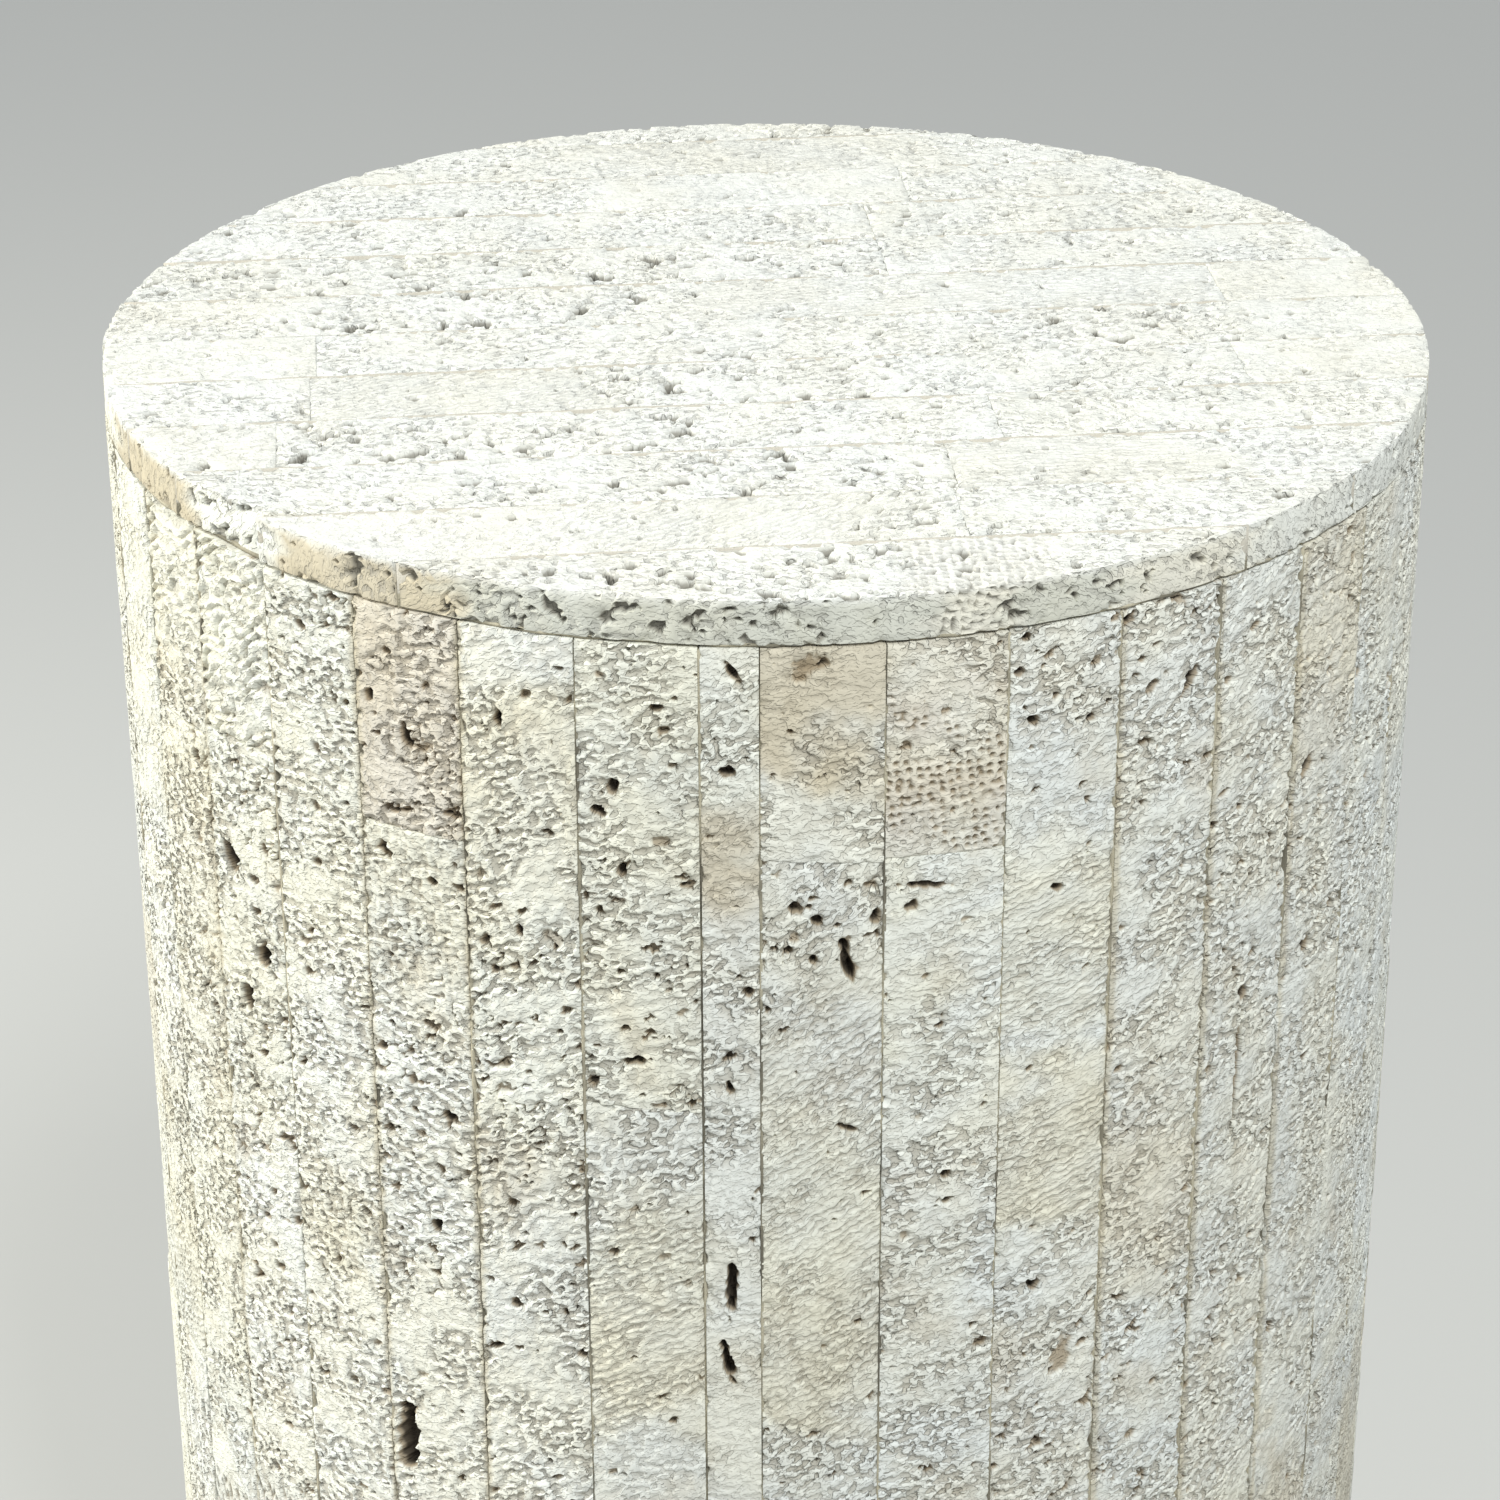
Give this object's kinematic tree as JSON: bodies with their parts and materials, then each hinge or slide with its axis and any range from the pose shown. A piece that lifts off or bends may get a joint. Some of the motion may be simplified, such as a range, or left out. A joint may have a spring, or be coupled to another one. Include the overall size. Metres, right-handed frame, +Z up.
{
  "type": "stone pedestal",
  "caption": "Round drum pedestal of upright sawn coral-stone staves under a top of parallel stone strips, for standing a sculpture, pot or lamp on.",
  "frame": {"origin": "middle of the drum's underside, on the floor", "axes": "+Z up along the drum's axis; the front, with the narrow closing stave, faces -Y; +X to the right"},
  "size_m": [0.406, 0.406, 0.762],
  "materials": {
    "side_stone": "sawn and ground coral limestone, pitted, matt",
    "top_stone": "ground and worn coral limestone, finely pitted, matt",
    "mortar": "sanded lime mortar, matt"
  },
  "bodies": {
    "root": {"stave_01": "side_stone", "stave_02": "side_stone", "stave_03": "side_stone", "stave_04": "side_stone", "stave_05": "side_stone", "stave_06": "side_stone", "stave_07": "side_stone", "stave_08": "side_stone", "stave_09": "side_stone", "stave_10": "side_stone", "stave_11": "side_stone", "stave_12": "side_stone", "stave_13": "side_stone", "stave_14": "side_stone", "stave_15": "side_stone", "stave_16": "side_stone", "stave_17": "side_stone", "stave_18": "side_stone", "stave_19": "side_stone", "stave_20": "side_stone", "stave_21": "side_stone", "stave_22": "side_stone", "stave_23": "side_stone", "stave_24": "side_stone", "stave_25": "side_stone", "stave_26": "side_stone", "stave_27": "side_stone", "stave_28": "side_stone", "stave_29": "side_stone", "stave_30": "side_stone", "stave_31": "side_stone", "stave_32": "side_stone", "stave_33": "side_stone", "stave_34": "side_stone", "stave_35": "side_stone", "stave_36": "side_stone", "closing_stave": "side_stone", "top_strip_01": "top_stone", "top_strip_02": "top_stone", "top_strip_03": "top_stone", "top_strip_04": "top_stone", "top_strip_05": "top_stone", "top_strip_06": "top_stone", "top_strip_07": "top_stone", "top_strip_08": "top_stone", "top_strip_09": "top_stone", "top_strip_10": "top_stone", "top_strip_11": "top_stone", "top_strip_12": "top_stone", "joint_mortar": "mortar"}
  },
  "joints": []
}
